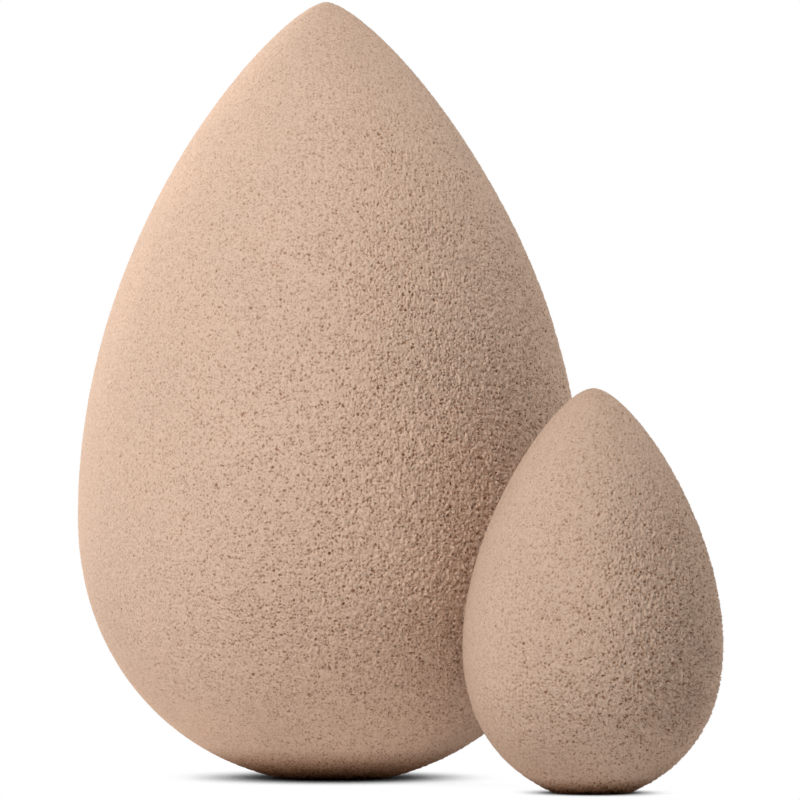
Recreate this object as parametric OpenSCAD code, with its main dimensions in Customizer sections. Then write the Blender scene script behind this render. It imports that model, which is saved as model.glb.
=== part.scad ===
// A full size and a mini teardrop makeup sponge of fine open-cell foam, standing side by side.
// Each sponge is one solid moulded body: round below, pointed above, and pressed flat where its
// own weight rests. The origin is the centre of the full size sponge's foot, with +Z up.
// Lengths are in millimetres.

/* [Full size sponge] */
// Height from the foot to the tip
full_height = 62; // [50:0.5:75]
// Diameter at the widest place
full_width = 40.3; // [34:0.1:46]
// Height of the widest place above the foot
full_belly_height = 20.7; // [16:0.1:25]
// Diameter of the flat foot
full_foot_width = 7; // [4:0.1:12]

/* [Mini sponge] */
// Height from the foot to the tip
mini_height = 31.1; // [25:0.1:38]
// Diameter at the widest place
mini_width = 19.8; // [16:0.1:24]
// Height of the widest place above the foot
mini_belly_height = 11.3; // [8:0.1:13]
// Diameter of the flat foot
mini_foot_width = 5; // [3:0.1:8]

/* [Where the mini sponge stands] */
// Gap between the two sponges' widest circles, seen from above
pair_gap = 0.3; // [0.3:0.1:30]
// Direction from the full size sponge to the mini one, in degrees from +X
pair_angle = -48.5; // [-180:0.5:180]

/* [Hidden] */

// Colour of the foam
foam_colour = [0.84, 0.72, 0.63];

// How full each outline is, as shares of the sizes that its curve handles follow:
// [how far the foot's handle reaches of the way from the foot's edge to the belly's radius,
//  and how far it rises of the belly's height,
//  how far the handle under the belly reaches down to the foot,
//  how far the handle over the belly reaches up to the tip,
//  and how far the tip's handle reaches out to the belly's radius]
full_outline_shares = [0.50, 0.06, 0.60, 0.58, 0.16];
mini_outline_shares = [0.30, 0.06, 0.70, 0.48, 0.28];

// Straight steps in each of an outline's two curves
curve_steps = 20;
// Sides of the round bodies
round_sides = 96;

// Distance between the two axes, and where it puts the mini sponge's foot
pair_distance = full_width / 2 + pair_gap + mini_width / 2;
mini_place = pair_distance * [cos(pair_angle), sin(pair_angle), 0];

// The point at t, from 0 to 1, of a cubic curve from start to end with a handle near each
function curve_point(start, start_handle, end_handle, end, t) =
    start * (1 - t)^3
    + start_handle * 3 * t * (1 - t)^2
    + end_handle * 3 * t^2 * (1 - t)
    + end * t^3;

// A teardrop's outline as [radius, height] points: along the flat foot to its edge, by one curve
// out to the belly, where the side is upright, and by another in to the rounded tip
function teardrop_outline(height, width, belly_height, foot_width, outline_shares) =
    let (
        foot_edge = [foot_width / 2, 0],
        belly = [width / 2, belly_height],
        tip = [0, height],
        foot_handle = foot_edge + [
            outline_shares[0] * (width - foot_width) / 2,
            outline_shares[1] * belly_height
        ],
        under_handle = belly - [0, outline_shares[2] * belly_height],
        over_handle = belly + [0, outline_shares[3] * (height - belly_height)],
        tip_handle = tip + [outline_shares[4] * width / 2, 0]
    )
    [
        [0, 0],
        for (i = [0 : curve_steps])
            curve_point(foot_edge, foot_handle, under_handle, belly, i / curve_steps),
        for (i = [1 : curve_steps])
            curve_point(belly, over_handle, tip_handle, tip, i / curve_steps)
    ];

// One sponge on the origin: its outline turned about the upright axis
module teardrop(height, width, belly_height, foot_width, outline_shares) {
    rotate_extrude($fn = round_sides)
        polygon(teardrop_outline(height, width, belly_height, foot_width, outline_shares));
}

// The full size sponge, on the origin
module full_size_sponge() {
    color(foam_colour)
        teardrop(full_height, full_width, full_belly_height, full_foot_width,
            full_outline_shares);
}

// The mini sponge, half the size, standing close beside the full size one
module mini_sponge() {
    color(foam_colour)
        translate(mini_place)
            teardrop(mini_height, mini_width, mini_belly_height, mini_foot_width,
                mini_outline_shares);
}

full_size_sponge();
mini_sponge();
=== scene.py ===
# %% [markdown]
# # Two teardrop makeup sponges
# The set is a full size and a mini makeup sponge: two solid pieces of fine beige foam, round below
# and pointed above, each standing on a small flat where its own weight presses the foam down. The
# construction model already holds them as two smooth solids at their real size. This lesson gives
# each of them its real surface, a skin of open pores about 0.2 mm wide, and then sets up the light
# and the camera. All lengths are in metres, in the construction model's own frame.

# %% Load the frame
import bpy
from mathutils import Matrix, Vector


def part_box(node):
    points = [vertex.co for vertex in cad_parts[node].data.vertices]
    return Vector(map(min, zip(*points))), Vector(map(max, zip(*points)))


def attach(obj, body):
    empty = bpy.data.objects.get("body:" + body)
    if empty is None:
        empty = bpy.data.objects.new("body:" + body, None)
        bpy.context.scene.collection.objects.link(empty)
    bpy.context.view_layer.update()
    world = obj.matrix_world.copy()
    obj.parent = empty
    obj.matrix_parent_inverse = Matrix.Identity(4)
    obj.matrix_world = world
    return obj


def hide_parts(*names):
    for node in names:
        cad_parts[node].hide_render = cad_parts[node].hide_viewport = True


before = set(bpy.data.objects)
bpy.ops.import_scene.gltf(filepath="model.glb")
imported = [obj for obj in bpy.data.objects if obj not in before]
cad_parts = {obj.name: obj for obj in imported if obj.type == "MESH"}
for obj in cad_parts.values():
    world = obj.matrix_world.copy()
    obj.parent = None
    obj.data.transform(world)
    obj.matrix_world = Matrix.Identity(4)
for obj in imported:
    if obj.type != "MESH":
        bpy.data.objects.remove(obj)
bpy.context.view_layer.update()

# %% [markdown]
# ## The outline of a sponge
# A sponge is a turned shape, so one outline of radius against height says all about it. Two cubic
# curves are enough: one from the edge of the flat foot out to the belly, where the side is
# upright, and one from the belly in to the rounded tip. A curve keeps its look when the sizes
# change, which a list of measured points wouldn't. The height and the width come from the
# construction model's boxes, and only the sizes that a box can't tell are written here.

# %% Sizes that a box doesn't tell
import math
from dataclasses import dataclass

import numpy as np

MM = 0.001


@dataclass
class Sponge:
    """One sponge: its node and body, and its sizes in metres."""

    name: str
    belly_height: float
    foot_width: float
    # How far the curves' handles reach, as shares of the sizes that they follow: from the foot
    # out and up, under the belly, over the belly, and from the tip out
    outline_shares: tuple
    # How far the tip stands to the right of the foot
    lean: float
    # A factor on the beige of its foam, against the full size one's
    tone: float
    # Blender's number of subdivisions for the starting ball, where 1 stands for 20 faces
    divisions: int

    def __post_init__(self):
        low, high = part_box(self.name)
        self.height = high[2] - low[2]
        self.width = high[0] - low[0]
        self.place = ((low[0] + high[0]) / 2, (low[1] + high[1]) / 2)


SPONGES = (
    Sponge(
        name="full_size_sponge",
        belly_height=20.7 * MM,
        foot_width=7 * MM,
        outline_shares=(0.50, 0.06, 0.60, 0.58, 0.16),
        lean=-0.5 * MM,
        tone=1,
        divisions=9,
    ),
    Sponge(
        name="mini_sponge",
        belly_height=11.3 * MM,
        foot_width=5 * MM,
        outline_shares=(0.30, 0.06, 0.70, 0.48, 0.28),
        lean=0.15 * MM,
        tone=0.91,
        divisions=8,
    ),
)
for sponge in SPONGES:
    print(f"{sponge.name}: {sponge.height / MM:.1f} mm high, {sponge.width / MM:.1f} mm wide")

# %% Outline as radius and height
OUTLINE_STEPS = 1500


def curve(start, start_handle, end_handle, end):
    """Points along a cubic curve from start to end with a handle near each."""
    t = np.linspace(0, 1, OUTLINE_STEPS)[:, None]
    return (
        np.array(start) * (1 - t) ** 3
        + np.array(start_handle) * 3 * t * (1 - t) ** 2
        + np.array(end_handle) * 3 * t**2 * (1 - t)
        + np.array(end) * t**3
    )


def outline(sponge):
    """(radius, height) points from the middle of the foot to the tip."""
    foot_out, foot_up, under, over, tip_out = sponge.outline_shares
    belly, foot = sponge.width / 2, sponge.foot_width / 2
    low, high = sponge.belly_height, sponge.height
    flat = np.linspace((0, 0), (foot, 0), OUTLINE_STEPS)
    lower = curve(
        (foot, 0),
        (foot + foot_out * (belly - foot), foot_up * low),
        (belly, low - under * low),
        (belly, low),
    )
    upper = curve(
        (belly, low),
        (belly, low + over * (high - low)),
        (tip_out * belly, high),
        (0, high),
    )
    return np.concatenate([flat, lower[1:], upper[1:]])


for sponge in SPONGES:
    print(f"{sponge.name}: {len(outline(sponge))} points on the outline")

# %% [markdown]
# ## From a ball to a teardrop
# The pores need a mesh of even, tiny faces all over, 0.11 mm or so. A spun outline crowds its
# faces at the poles and stretches them at the belly. An icosphere's faces are nearly all alike, so
# the sponge starts as one, and each of its points slides to the height where the teardrop has the
# same share of its surface below it as the ball had. That keeps the faces alike in area. These
# points number more than half a million, so they are moved as arrays.

# %% Make the smooth bodies
import bmesh
import bpy


def as_mesh(bm, name):
    """A mesh of what a bmesh holds, which is freed."""
    mesh = bpy.data.meshes.new(name)
    bm.to_mesh(mesh)
    bm.free()
    return mesh


def ball(name, divisions):
    """A mesh of a ball of radius 1 with small, even faces."""
    bm = bmesh.new()
    bmesh.ops.create_icosphere(bm, subdivisions=divisions, radius=1)
    mesh = as_mesh(bm, name)
    mesh.shade_smooth()
    return mesh


def read_points(mesh):
    """The places of a mesh's points, one row each."""
    points = np.empty(len(mesh.vertices) * 3, dtype=np.float32)
    mesh.vertices.foreach_get("co", points)
    return points.reshape(-1, 3).astype(float)


def write_points(mesh, points):
    """Moves a mesh's points to the rows given."""
    mesh.vertices.foreach_set("co", points.astype(np.float32).ravel())
    mesh.update()


def area_below(line):
    """The turned surface's area from the foot's middle up to each point of an outline."""
    step = np.diff(line, axis=0)
    rings = math.pi * (line[1:, 0] + line[:-1, 0]) * np.hypot(step[:, 0], step[:, 1])
    return np.concatenate([[0], np.cumsum(rings)])


def smooth_body(sponge):
    """A teardrop mesh standing at the origin, with faces alike in area."""
    mesh = ball(sponge.name + "_foam", sponge.divisions)
    points = read_points(mesh)
    line = outline(sponge)
    area = area_below(line)
    wanted = (1 + np.clip(points[:, 2], -1, 1)) / 2 * area[-1]
    radius = np.interp(wanted, area, line[:, 0])
    height = np.interp(wanted, area, line[:, 1])
    around = np.arctan2(points[:, 1], points[:, 0])
    points = np.stack([radius * np.cos(around), radius * np.sin(around), height], axis=1)
    write_points(mesh, points)
    # The edge of an equilateral triangle that has the faces' mean area
    edge = math.sqrt(area[-1] / len(mesh.polygons) * 4 / math.sqrt(3))
    print(f"{mesh.name}: {area[-1] / MM**2:.0f} mm2 in {len(mesh.polygons)} faces")
    print(f"{mesh.name}: edges about {edge / MM:.3f} mm long")
    return mesh


bodies = {sponge.name: smooth_body(sponge) for sponge in SPONGES}

# %% [markdown]
# ## A map for the closing bake
# When the model leaves Blender its colours are painted onto a flat map. Foam has no seams to hide
# a cut in, so the skin is cut like an orange, into four upright gores side by side. The map is laid
# out now, on the smooth body, because the automatic unwrap would trip over every pore.

# %% Lay out the gores
GORES = 4
GORE_MARGIN = 1.5 * MM
# A point lower than this lies on the flat foot
FOOT_LEVEL = 0.001 * MM


def unwrap_in_gores(mesh, sponge):
    """A map named OFBake: each gore's width is its true width, its height the outline's length."""
    points = read_points(mesh)
    corners = np.empty(len(mesh.loops), dtype=np.int32)
    mesh.loops.foreach_get("vertex_index", corners)
    line = outline(sponge)
    along = np.concatenate([[0], np.cumsum(np.hypot(*np.diff(line, axis=0).T))])
    centre = points[corners.reshape(-1, 3)].mean(axis=1)
    gore_angle = 2 * math.pi / GORES
    gore = np.floor((np.arctan2(centre[:, 1], centre[:, 0]) + math.pi) / gore_angle) % GORES
    middle = np.repeat(-math.pi + (gore + 0.5) * gore_angle, 3)
    corner = points[corners]
    turn = np.arctan2(corner[:, 1], corner[:, 0]) - middle
    turn = (turn + math.pi) % (2 * math.pi) - math.pi
    radius = np.hypot(corner[:, 0], corner[:, 1])
    up = np.empty(len(corners))
    on_foot = corner[:, 2] < FOOT_LEVEL
    up[on_foot] = radius[on_foot]
    up[~on_foot] = np.interp(corner[~on_foot, 2], line[OUTLINE_STEPS:, 1], along[OUTLINE_STEPS:])
    pitch = sponge.width / 2 * gore_angle + GORE_MARGIN
    across = (np.repeat(gore, 3) + 0.5) * pitch + radius * turn
    u = across / (pitch * GORES)
    v = (up + GORE_MARGIN) / (along[-1] + 2 * GORE_MARGIN)
    layer = mesh.uv_layers.new(name="OFBake")
    layer.data.foreach_set("uv", np.stack([u, v], axis=1).astype(np.float32).ravel())
    for axis, values in (("u", u), ("v", v)):
        print(f"{mesh.name}: map spans {axis} {values.min():.3f} to {values.max():.3f}")


for sponge in SPONGES:
    unwrap_in_gores(bodies[sponge.name], sponge)

# %% [markdown]
# ## Nodes written as sums
# Both the pores in the mesh and the colours in the material come from node trees. Writing
# `1 - mask * 2` is easier to read than making and linking Math nodes by hand, so a small class
# wraps a node's output and its operators add the Math nodes. One method of the tree adds every
# other node: it takes the node's type, its settings, and the values or links of its inputs.

# %% Helpers for node trees
class Wire:
    """A node's output. Sums and products with it add Math nodes."""

    def __init__(self, tree, socket):
        self.tree, self.socket = tree, socket

    def math(self, operation, *values):
        inputs = dict(enumerate(values))
        return self.tree.node("ShaderNodeMath", {"operation": operation}, inputs)["Value"]

    def __add__(self, other):
        return self.math("ADD", self, other)

    def __sub__(self, other):
        return self.math("SUBTRACT", self, other)

    def __rsub__(self, other):
        return self.math("SUBTRACT", other, self)

    def __mul__(self, other):
        return self.math("MULTIPLY", self, other)

    __radd__, __rmul__ = __add__, __mul__

    def at_least(self, other):
        return self.math("MAXIMUM", self, other)

    def at_most(self, other):
        return self.math("MINIMUM", self, other)

    def fade(self, start, end):
        """0 up to start, 1 past end, or the other way round where start is the larger."""
        settings = {"interpolation_type": "SMOOTHSTEP"}
        inputs = {"Value": self, "From Min": start, "From Max": end}
        return self.tree.node("ShaderNodeMapRange", settings, inputs)["Result"]


class Node:
    """A node whose outputs are read by name."""

    def __init__(self, tree, node):
        self.tree, self.node = tree, node

    def __getitem__(self, name):
        return Wire(self.tree, shown(self.node.outputs, name))


def shown(sockets, name):
    """The socket of that name or number that the node's settings leave in use."""
    if isinstance(name, int):
        return sockets[name]
    return next(socket for socket in sockets if socket.name == name and socket.enabled)


class Tree:
    """A node tree for shading or for geometry."""

    def __init__(self, tree):
        self.tree = tree

    def node(self, kind, settings=None, inputs=None):
        """Adds a node of that type, with its settings made first, and then its inputs."""
        node = self.tree.nodes.new(kind)
        for name, value in (settings or {}).items():
            setattr(node, name, value)
        for name, value in (inputs or {}).items():
            socket = shown(node.inputs, name)
            if isinstance(value, Wire):
                self.tree.links.new(value.socket, socket)
            else:
                socket.default_value = value
        return Node(self, node)


def empty_tree(owner):
    """The node tree of a material or a world, with the nodes that it starts with taken out."""
    owner.use_nodes = True
    owner.node_tree.nodes.clear()
    return Tree(owner.node_tree)


# %% [markdown]
# ## What the skin of the foam looks like
# Makeup foam is a mass of tiny bubbles, and its skin shows them cut open. Two Voronoi patterns in
# space do the same: each fills space with cells, and the skin cuts through some of them near their
# middles and through others near their edges, so the openings come out in all sizes, as real ones
# do. The small cells give the pores, about 0.2 mm wide, with thin walls between them. The large
# cells hold one round hole each, and few of those reach the skin, so large holes are rare. A fine
# noise mottles the colour further. The same pores and holes serve the mesh and the material, so
# each pit in the shape is also painted darker and browner in the colour, as painted shade.
# The pores are not equally deep all over. A number called relief says how deep they are at a place,
# and how dark their painted shade is there.

# %% Pores and holes of the foam
PORE_CELL = 0.27 * MM
# How far from its walls a pore is at its deepest, in cells
PORE_SLOPE = 0.4
HOLE_CELL = 0.55 * MM
# Radius of the widest hole, in cells
WIDEST_HOLE = 0.3
# The narrowest hole's radius and the shallowest one's depth, as shares of the largest ones
NARROWEST = 0.4
SHALLOWEST = 0.3


def chance(tree, cells):
    """A number from 0 to 1 drawn for each cell."""
    return tree.node("ShaderNodeSeparateXYZ", {}, {"Vector": cells["Color"]})["X"]


def pores(tree, place):
    """How deep in a pore a place is: 0 on the walls, and up to 1 in the deepest pores."""
    inputs = {"Vector": place, "Scale": 1 / PORE_CELL}
    cells = tree.node("ShaderNodeTexVoronoi", {}, inputs)
    walls = tree.node("ShaderNodeTexVoronoi", {"feature": "DISTANCE_TO_EDGE"}, inputs)
    return walls["Distance"].fade(0, PORE_SLOPE) * chance(tree, cells)


def holes(tree, place):
    """The same for the rare large holes, which are round."""
    cells = tree.node("ShaderNodeTexVoronoi", {}, {"Vector": place, "Scale": 1 / HOLE_CELL})
    size = chance(tree, cells)
    radius = WIDEST_HOLE * (NARROWEST + (1 - NARROWEST) * size)
    depth = SHALLOWEST + (1 - SHALLOWEST) * size
    return cells["Distance"].fade(radius, 0) * depth


# %% Height and openness of the skin
# How far the walls stand out of the smooth body, and how deep the pores and holes go, in mm
WALL_HEIGHT = 0.03
PORE_DEPTH = 0.10
HOLE_DEPTH = 0.12
GRAIN = 0.16 * MM
# How much painted shade a deep pore gets where a deep hole gets 1, how much the grain adds or
# takes, and the middle value that relief spreads these from
PORE_SHADE = 0.8
GRAIN_CONTRAST = 3
MIDDLE_SHADE = 0.3


def skin_height(pore, hole, relief):
    """The skin's height over the smooth body, in mm."""
    return (WALL_HEIGHT - PORE_DEPTH * pore - HOLE_DEPTH * hole) * relief


def pore_shade_and_grain(tree, place, pore, hole, relief):
    """Painted shade of the pores and holes, from 0 to 1, scaled by relief and mottled by the grain.
    """
    inputs = {"Vector": place, "Scale": 1 / GRAIN, "Detail": 2, "Roughness": 0.7}
    grain = tree.node("ShaderNodeTexNoise", {}, inputs)["Fac"] - 0.5
    from_middle = PORE_SHADE * pore + hole - GRAIN_CONTRAST * grain - MIDDLE_SHADE
    return (MIDDLE_SHADE + from_middle * relief).at_most(1).at_least(0)


# %% [markdown]
# ## Press the pores into the mesh
# A pit that only the shading knows about looks painted on at the outline, where the real foam is
# visibly rough. So geometry nodes push each point in or out by the height of the skin. Each point's
# place before the push is kept in an attribute named rest, for the material to find the same pores
# again. A slow noise dents the body a little, because soft foam is never quite true. Walls finer
# than the mesh are left to chance: each point is also pushed a little at random, further where the
# relief is larger. Where the sponge stands, nothing may reach below the table, so the foot stays
# flat.

# %% Geometry nodes for the skin
# Size of the slow dents, and how far the deepest could lie below the highest bulge
DENT = 16 * MM
DENT_DEPTH = 0.15 * MM
# How far a point is pushed for each mm of the skin's height
PUSH = 1.2 * MM
# How far apart chance alone puts two points at most, where relief is 1
LOOSE_WALLS = 0.14 * MM


def skin_nodes():
    """A geometry node group that gives a smooth body its porous skin."""
    group = bpy.data.node_groups.new("foam_skin", "GeometryNodeTree")
    for way in ("INPUT", "OUTPUT"):
        group.interface.new_socket("Geometry", in_out=way, socket_type="NodeSocketGeometry")
    tree = Tree(group)
    body = tree.node("NodeGroupInput")["Geometry"]
    place = tree.node("GeometryNodeInputPosition")["Position"]
    normal = tree.node("GeometryNodeInputNormal")["Normal"]
    body = tree.node(
        "GeometryNodeStoreNamedAttribute",
        {"data_type": "FLOAT_VECTOR"},
        {"Geometry": body, "Name": "rest", "Value": place},
    )["Geometry"]
    dents = tree.node("ShaderNodeTexNoise", {}, {"Vector": place, "Scale": 1 / DENT, "Detail": 0})
    named = tree.node("GeometryNodeInputNamedAttribute", {"data_type": "FLOAT"}, {"Name": "relief"})
    relief = named["Attribute"]
    height = skin_height(pores(tree, place), holes(tree, place), relief)
    draw = tree.node("ShaderNodeTexWhiteNoise", {}, {"Vector": place})["Value"]
    push = height * PUSH + (draw - 0.5) * LOOSE_WALLS * relief + (dents["Fac"] - 0.5) * DENT_DEPTH
    inputs = {"Vector": normal, "Scale": push}
    offset = tree.node("ShaderNodeVectorMath", {"operation": "SCALE"}, inputs)["Vector"]
    inputs = {"Geometry": body, "Offset": offset}
    body = tree.node("GeometryNodeSetPosition", {}, inputs)["Geometry"]
    split = tree.node("ShaderNodeSeparateXYZ", {}, {"Vector": place})
    standing = {"X": split["X"], "Y": split["Y"], "Z": split["Z"].at_least(0)}
    landed = tree.node("ShaderNodeCombineXYZ", {}, standing)["Vector"]
    inputs = {"Geometry": body, "Position": landed}
    body = tree.node("GeometryNodeSetPosition", {}, inputs)["Geometry"]
    tree.node("NodeGroupOutput", {}, {"Geometry": body})
    return group


# %% [markdown]
# ## Rough places and painted shade
# The skin isn't the same all over. Its pores are deepest, and their painted shade darkest, below
# the middle and on the right, where light skims the side, and shallow near the tip and on the left.
# Close to the table the foam is frayed, and its lowest few mm are painted brown, as painted shade
# where the foam nearly meets the table. The mini sponge's beige is made a touch darker than the
# full size one's. So three numbers are stored at each point of a body before it gets its skin:
# relief, how deep the pores and their painted shade are there, foot_shade, how much painted brown
# shade it gets, and tone, the factor on its beige.

# %% Put each body in place and give it its skin
# Relief halfway between left and right, at these shares of the sponge's height
RISES = (0, 0.06, 0.2, 0.42, 0.7, 0.93, 1)
RELIEF_AT_RISES = (0.8, 0.88, 1.45, 1.3, 0.92, 0.52, 0.45)
# The share of it that is added at the right edge and taken off at the left edge, so the pores'
# painted shade is darker on the right
SIDE_RELIEF = 0.75
# What the frayed foot adds to the relief, and the height in which that falls to about a third
FOOT_RELIEF = 1.2
FOOT_REACH = 0.8 * MM
# Shares of the height at which the foot's painted brown shade starts, and is full
FOOT_SHADE_RISE = 0.043
FULL_FOOT_SHADE_RISE = 0.008


def store(mesh, name, values):
    """Stores one number at each point of a mesh, under that name."""
    mesh.attributes.new(name, "FLOAT", "POINT").data.foreach_set("value", values.astype(np.float32))
    print(f"{mesh.name}: {name} {values.min():.2f} to {values.max():.2f}")


def store_relief_shade_and_tone(mesh, sponge):
    """Stores relief, foot_shade and tone at each point of a body, which still stands on the origin.
    """
    points = read_points(mesh)
    rise = points[:, 2] / sponge.height
    relief = np.interp(rise, RISES, RELIEF_AT_RISES)
    relief *= 1 + SIDE_RELIEF * points[:, 0] / (sponge.width / 2)
    relief += FOOT_RELIEF * np.exp(-points[:, 2] / FOOT_REACH)
    store(mesh, "relief", relief)
    # Painted shade: the lowest few mm of each sponge get a brown share that stands for the shade
    # near the table
    store(mesh, "foot_shade", np.interp(rise, (FULL_FOOT_SHADE_RISE, FOOT_SHADE_RISE), (1, 0)))
    store(mesh, "tone", np.full(len(points), sponge.tone))


def put_in_place(mesh, sponge):
    """Leans the body a touch, as the photographed one does, and moves it onto its foot's place."""
    points = read_points(mesh)
    rise = points[:, 2] / sponge.height
    points[:, 0] += sponge.place[0] + sponge.lean * rise
    points[:, 1] += sponge.place[1]
    write_points(mesh, points)


def add_object(name, data):
    """An object of that mesh, lamp or camera, in the scene."""
    thing = bpy.data.objects.new(name, data)
    bpy.context.collection.objects.link(thing)
    return thing


def with_skin(mesh, group):
    """An object of the mesh after the skin's nodes, with no modifier left on it."""
    smooth = add_object(mesh.name + "_smooth", mesh)
    smooth.modifiers.new("skin", "NODES").node_group = group
    finished = smooth.evaluated_get(bpy.context.evaluated_depsgraph_get())
    skinned = bpy.data.meshes.new_from_object(finished)
    skinned.name = mesh.name
    piece = add_object(mesh.name, skinned)
    bpy.data.objects.remove(smooth)
    return piece


skin = skin_nodes()
pieces = {}
for sponge in SPONGES:
    body = bodies[sponge.name]
    store_relief_shade_and_tone(body, sponge)
    put_in_place(body, sponge)
    pieces[sponge.name] = with_skin(body, skin)
    print(sponge.name, "attributes:", [a.name for a in pieces[sponge.name].data.attributes])

# %% [markdown]
# ## The foam's colour
# The foam is a warm beige, which a slow noise varies by a few parts in a hundred, and the tone
# stored on the mini sponge makes its beige darker. The pores and holes are painted browner, as
# painted shade: light that goes in bounces off foam several times before it comes out, and each
# bounce deepens the colour. The same brown is painted as shade on the foot's lowest few mm, near
# the table. Dry foam has no shine, so it is almost fully rough.

# %% Foam material
PALE_BEIGE = (0.765, 0.557, 0.426, 1)
WARM_BEIGE = (0.790, 0.571, 0.434, 1)
# The brown of the painted shade, in the pores and holes and at the foot
SHADE_BROWN = (0.30, 0.125, 0.045, 1)
# Size of the pale and the warm patches, and the values of the noise between which they meet
PATCH = 7 * MM
PATCH_FADE = (0.3, 0.7)
# How much of the painted brown shade the deepest pores get, and the lowest part of the foot
PORE_SHADE_TINT = 0.8
FOOT_SHADE_TINT = 0.85
BUMP_STRENGTH = 0.5
ROUGHNESS = 0.95
SHINE = 0.2


def stored(tree, name):
    """The number that is stored under that name at each point of a piece."""
    return tree.node("ShaderNodeAttribute", {"attribute_name": name})["Fac"]


def mix(tree, share, first, second):
    """The first colour where share is 0, the second where it is 1, and a mix in between."""
    inputs = {"Factor": share, "A": first, "B": second}
    return tree.node("ShaderNodeMix", {"data_type": "RGBA"}, inputs)["Result"]


def beige_foam():
    """The foam's procedural material, which reads the same pores as the mesh."""
    material = bpy.data.materials.new("beige_foam")
    tree = empty_tree(material)
    rest = tree.node("ShaderNodeAttribute", {"attribute_name": "rest"})["Vector"]
    pore, hole, relief = pores(tree, rest), holes(tree, rest), stored(tree, "relief")
    shade_and_grain = pore_shade_and_grain(tree, rest, pore, hole, relief)
    slow = tree.node("ShaderNodeTexNoise", {}, {"Vector": rest, "Scale": 1 / PATCH, "Detail": 2})
    beige = mix(tree, slow["Fac"].fade(*PATCH_FADE), PALE_BEIGE, WARM_BEIGE)
    inputs = {"Vector": beige, "Scale": stored(tree, "tone")}
    toned = tree.node("ShaderNodeVectorMath", {"operation": "SCALE"}, inputs)["Vector"]
    # Painted shade: pores, holes and the foot's lowest few mm are mixed towards brown
    brown = (shade_and_grain * PORE_SHADE_TINT + stored(tree, "foot_shade") * FOOT_SHADE_TINT).at_most(1)
    height = skin_height(pore, hole, relief)
    inputs = {"Strength": BUMP_STRENGTH, "Distance": MM, "Height": height}
    bump = tree.node("ShaderNodeBump", {}, inputs)["Normal"]
    inputs = {
        "Base Color": mix(tree, brown, toned, SHADE_BROWN),
        "Normal": bump,
        "Roughness": ROUGHNESS,
        "Specular IOR Level": SHINE,
    }
    foam = tree.node("ShaderNodeBsdfPrincipled", {}, inputs)["BSDF"]
    tree.node("ShaderNodeOutputMaterial", {}, {"Surface": foam})
    return material


foam = beige_foam()
for piece in pieces.values():
    piece.data.materials.clear()
    piece.data.materials.append(foam)
print(f"{foam.name}: {len(foam.node_tree.nodes)} nodes")

# %% [markdown]
# ## Ride on the frame
# Each sponge stands for its smooth node, which is hidden, and rides on that node's body.

# %% Ride and replace
for name, piece in pieces.items():
    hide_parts(name)
    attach(piece, name)
    print(f"{piece.name}: {len(piece.data.polygons)} faces, in place of {name}")

# %% [markdown]
# ## Floor and backdrop
# The sponges stand on a plain white table against white. For the light that bounces off it, the
# table is ordinary white paper. The camera sees it as plain white with the shadow that lies close
# under each sponge, as in the photograph, where the studio's light has washed out the rest. Ambient
# occlusion finds that shadow: it tells how much of the space over a spot the sponges fill. It looks
# up and back rather than straight up, which moves the shadow to the front, where the photograph
# shows it. The world is white to the camera too, and both look the same in a reflection or through
# glass. Apart from that, the world gives no light.

# %% Table and world
TABLE_REACH = 0.3
TABLE_SIDES = 96
PAPER_WHITE = 0.95
# How far from a spot the occlusion looks for a sponge, and how far back for each metre up
NEAR = 11 * MM
LEAN_BACK = 1.8
OCCLUSION_SAMPLES = 16
# Shares of free space at which the table looks black, and white
DARKEST = 0.05
LIGHTEST = 0.37


def to_camera(tree):
    """1 for what the camera sees, also in a reflection or through glass, and 0 for other light."""
    paths = tree.node("ShaderNodeLightPath")
    rays = paths["Is Camera Ray"] + paths["Is Glossy Ray"] + paths["Is Transmission Ray"]
    return rays.at_most(1)


def white_table():
    """A white table, which the camera sees as plain white with a shadow close to the sponges."""
    material = bpy.data.materials.new("white_table")
    tree = empty_tree(material)
    paper = {"Base Color": (PAPER_WHITE,) * 3 + (1,), "Roughness": 1, "Specular IOR Level": 0}
    lit = tree.node("ShaderNodeBsdfPrincipled", {}, paper)["BSDF"]
    inputs = {"Distance": NEAR, "Normal": (0, LEAN_BACK, 1)}
    free = tree.node("ShaderNodeAmbientOcclusion", {"samples": OCCLUSION_SAMPLES}, inputs)["AO"]
    white = free.fade(DARKEST, LIGHTEST)
    shade = tree.node("ShaderNodeCombineXYZ", {}, {"X": white, "Y": white, "Z": white})["Vector"]
    seen = tree.node("ShaderNodeEmission", {}, {"Color": shade, "Strength": 1})["Emission"]
    inputs = {"Fac": to_camera(tree), 1: lit, 2: seen}
    surface = tree.node("ShaderNodeMixShader", {}, inputs)["Shader"]
    tree.node("ShaderNodeOutputMaterial", {}, {"Surface": surface})
    return material


bm = bmesh.new()
bmesh.ops.create_circle(bm, cap_ends=True, segments=TABLE_SIDES, radius=TABLE_REACH)
table = add_object("table", as_mesh(bm, "table"))
table.data.materials.append(white_table())

world = bpy.data.worlds.new("studio")
bpy.context.scene.world = world
tree = empty_tree(world)
sky = tree.node("ShaderNodeBackground", {}, {"Strength": 1, "Color": to_camera(tree)})
tree.node("ShaderNodeOutputWorld", {}, {"Surface": sky["Background"]})
print(f"{table.name}: {2 * TABLE_REACH:.1f} m across, under a world named {world.name}")

# %% [markdown]
# ## Soft light all round
# Each sponge is brightest on its left and grows darker towards the right. So the two strongest
# lamps stand on the left, one in front and one behind. One nearly as strong stands far round on the
# right, where its light only skims over the side and brings out every pore. Weaker ones fill in
# from the front, from above and from the left. All are soft and close, like the panels of a small
# studio tent.

# %% Lamps
LAMP_DISTANCE = 0.3
LAMP_SIZE = 0.1


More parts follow.
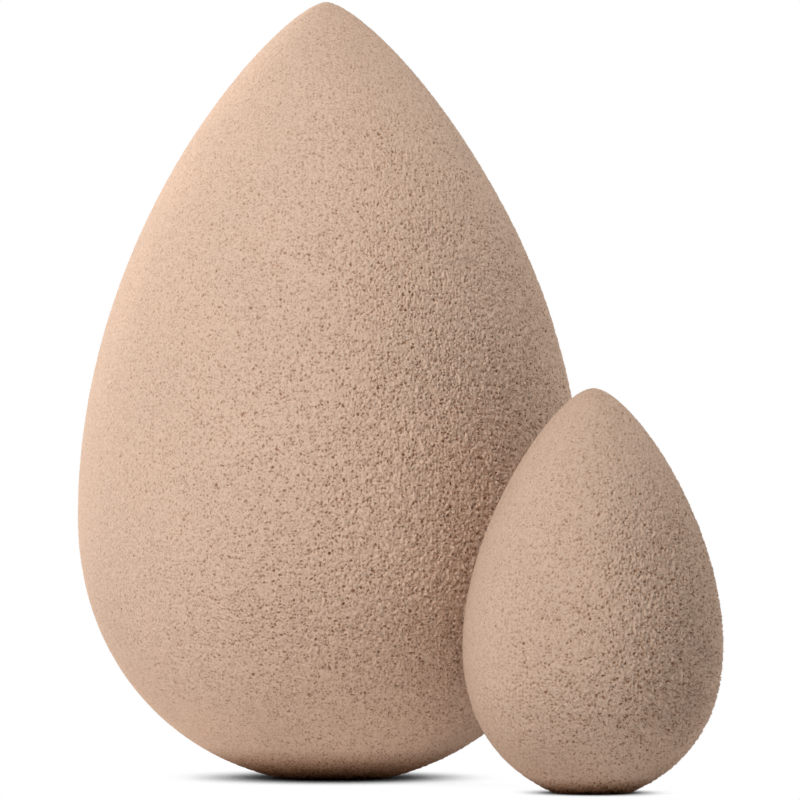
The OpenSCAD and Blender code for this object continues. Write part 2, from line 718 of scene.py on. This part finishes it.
def soft_lamp(name, turn, rise, level):
    """A square lamp. turn is measured from the camera's side towards the right, in degrees.

    level is how bright a white surface facing the lamp looks by its light alone.
    """
    lamp = bpy.data.lights.new(name, "AREA")
    lamp.shape = "SQUARE"
    lamp.size = LAMP_SIZE
    lamp.energy = level * (math.pi * LAMP_DISTANCE) ** 2
    holder = add_object(name, lamp)
    turn, rise = math.radians(turn), math.radians(rise)
    holder.location = (
        LAMP_DISTANCE * math.cos(rise) * math.sin(turn),
        -LAMP_DISTANCE * math.cos(rise) * math.cos(turn),
        LAMP_DISTANCE * math.sin(rise),
    )
    holder.rotation_euler = (math.pi / 2 - rise, 0, turn)
    holder.visible_camera = False
    print(f"{name}: {lamp.energy:.2f} W")


soft_lamp("key_lamp", turn=-35, rise=45, level=0.42)
soft_lamp("front_lamp", turn=0, rise=40, level=0.19)
soft_lamp("top_lamp", turn=0, rise=90, level=0.13)
soft_lamp("left_side_lamp", turn=-110, rise=15, level=0.25)
soft_lamp("left_rim_lamp", turn=-140, rise=30, level=0.47)
soft_lamp("right_rim_lamp", turn=115, rise=20, level=0.41)

# %% [markdown]
# ## The camera
# The photograph was taken level with the middle of the full size sponge, from well back, with a
# long lens: both bases lie only a little apart in height although the mini sponge stands in front.

# %% Camera
PICTURE_WIDTH_PX = 800
# Width of the camera's sensor in mm
SENSOR = 36
# Scale of the picture at the full size sponge
PX_PER_MM = 12.5
CAMERA_DISTANCE = 0.586
CAMERA_RIGHT = 5.4 * MM
CAMERA_HEIGHT = 30.2 * MM
# The camera sees nothing that is nearer than this
NEAREST_SEEN = 0.01

camera = bpy.data.cameras.new("camera")
camera.sensor_width = SENSOR
camera.lens = PX_PER_MM / MM * CAMERA_DISTANCE * SENSOR / PICTURE_WIDTH_PX
camera.clip_start = NEAREST_SEEN
camera_holder = add_object("camera", camera)
camera_holder.location = (CAMERA_RIGHT, -CAMERA_DISTANCE, CAMERA_HEIGHT)
camera_holder.rotation_euler = (math.pi / 2, 0, 0)
bpy.context.scene.camera = camera_holder
bpy.context.scene.view_settings.view_transform = "Standard"
print(f"lens {camera.lens:.0f} mm")
